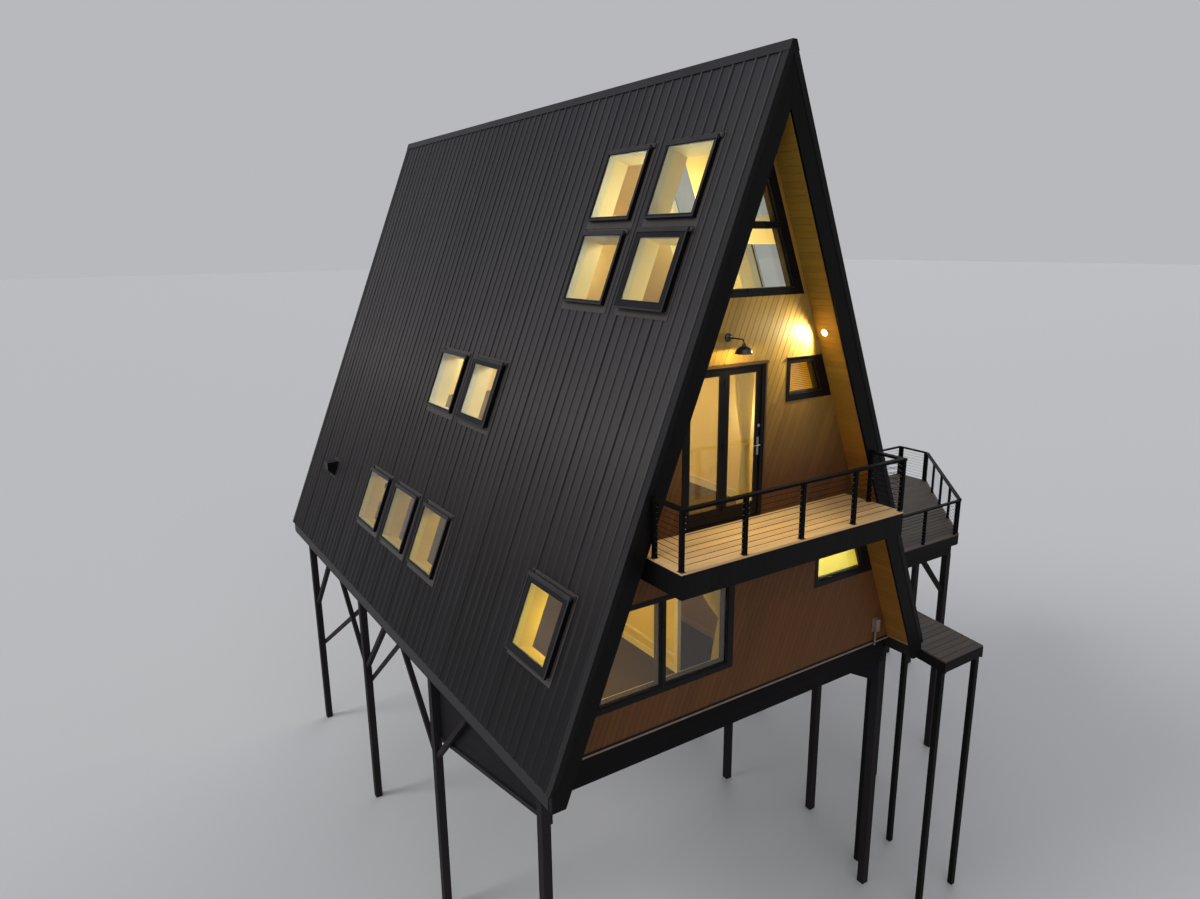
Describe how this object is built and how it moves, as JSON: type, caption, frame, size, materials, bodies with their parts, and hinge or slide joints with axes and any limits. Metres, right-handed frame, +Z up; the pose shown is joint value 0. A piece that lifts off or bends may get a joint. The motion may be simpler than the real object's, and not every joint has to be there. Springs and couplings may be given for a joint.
{
  "type": "a-frame cabin",
  "caption": "Steep gabled cabin on timber posts, with a ribbed metal roof, skylights, a glazed balcony, a side deck and a ramp.",
  "frame": {"origin": "bottom centre of the whole building, at the level of the lowest post feet", "axes": "+Z up, +Y from the balcony gable to the back gable along the ridge, +X towards the side deck"},
  "size_m": [16.2686, 14.49, 15.3503],
  "materials": {
    "roof_steel": "ribbed sheet, matt charcoal",
    "trim_steel": "folded trim, matt near black",
    "cap_steel": "folded cap, weathered grey",
    "skylight_metal": "dark grey cladding",
    "window_metal": "black window frames",
    "roof_timber": "rafters and boarding under the sheet",
    "pine_lining": "golden tongue and groove boards",
    "stained_boards": "charcoal stained boards",
    "siding": "brown stained boards",
    "floor_timber": "floor on joists",
    "black_timber": "black stained posts and beams",
    "skirt_boards": "grey boards",
    "dark_skirt": "dark boards",
    "deck_boards": "weathered deck boards",
    "balcony_boards": "lighter deck boards",
    "rail_metal": "black railing with steel cables",
    "clear_glass": "clear glazing",
    "lamp_metal": "matt black",
    "lamp_white": "white lamp bodies"
  },
  "bodies": {
    "root": {"roof_deck_left": "roof_timber", "roof_deck_right": "roof_timber", "roof_sheets": "roof_steel", "ridge_cap": "cap_steel", "ceiling_boards": "pine_lining", "rake_boards": "stained_boards", "edge_trim": "trim_steel", "skylight_frames": "skylight_metal", "skylight_glass": "clear_glass", "roof_hood": "trim_steel", "front_wall_upper": "siding", "front_wall_middle": "siding", "front_wall_band": "siding", "front_wall_lower": "siding", "front_wall_sill": "siding", "loft_casing": "siding", "front_window_frames": "window_metal", "front_window_glass": "clear_glass", "door_frame": "window_metal", "door_leaves": "window_metal", "door_glass": "clear_glass", "back_wall_upper": "siding", "back_wall_lower": "siding", "back_window_frames": "window_metal", "back_window_glass": "clear_glass", "lower_floor": "floor_timber", "main_floor": "floor_timber", "loft_floor": "floor_timber", "balcony_frame": "black_timber", "balcony_deck": "balcony_boards", "balcony_rail_front": "rail_metal", "balcony_rail_sides": "rail_metal", "posts": "black_timber", "long_beams": "black_timber", "cross_beams": "black_timber", "braces": "black_timber", "front_skirts": "dark_skirt", "side_skirts": "skirt_boards", "side_deck_frame": "black_timber", "side_deck_boards": "deck_boards", "side_deck_posts": "black_timber", "side_deck_beams": "black_timber", "side_deck_braces": "black_timber", "side_deck_rails": "rail_metal", "ramp_frame": "black_timber", "ramp_posts": "black_timber", "ramp_boards": "deck_boards", "wall_lamp": "lamp_metal", "soffit_lamps": "lamp_white"}
  },
  "joints": []
}
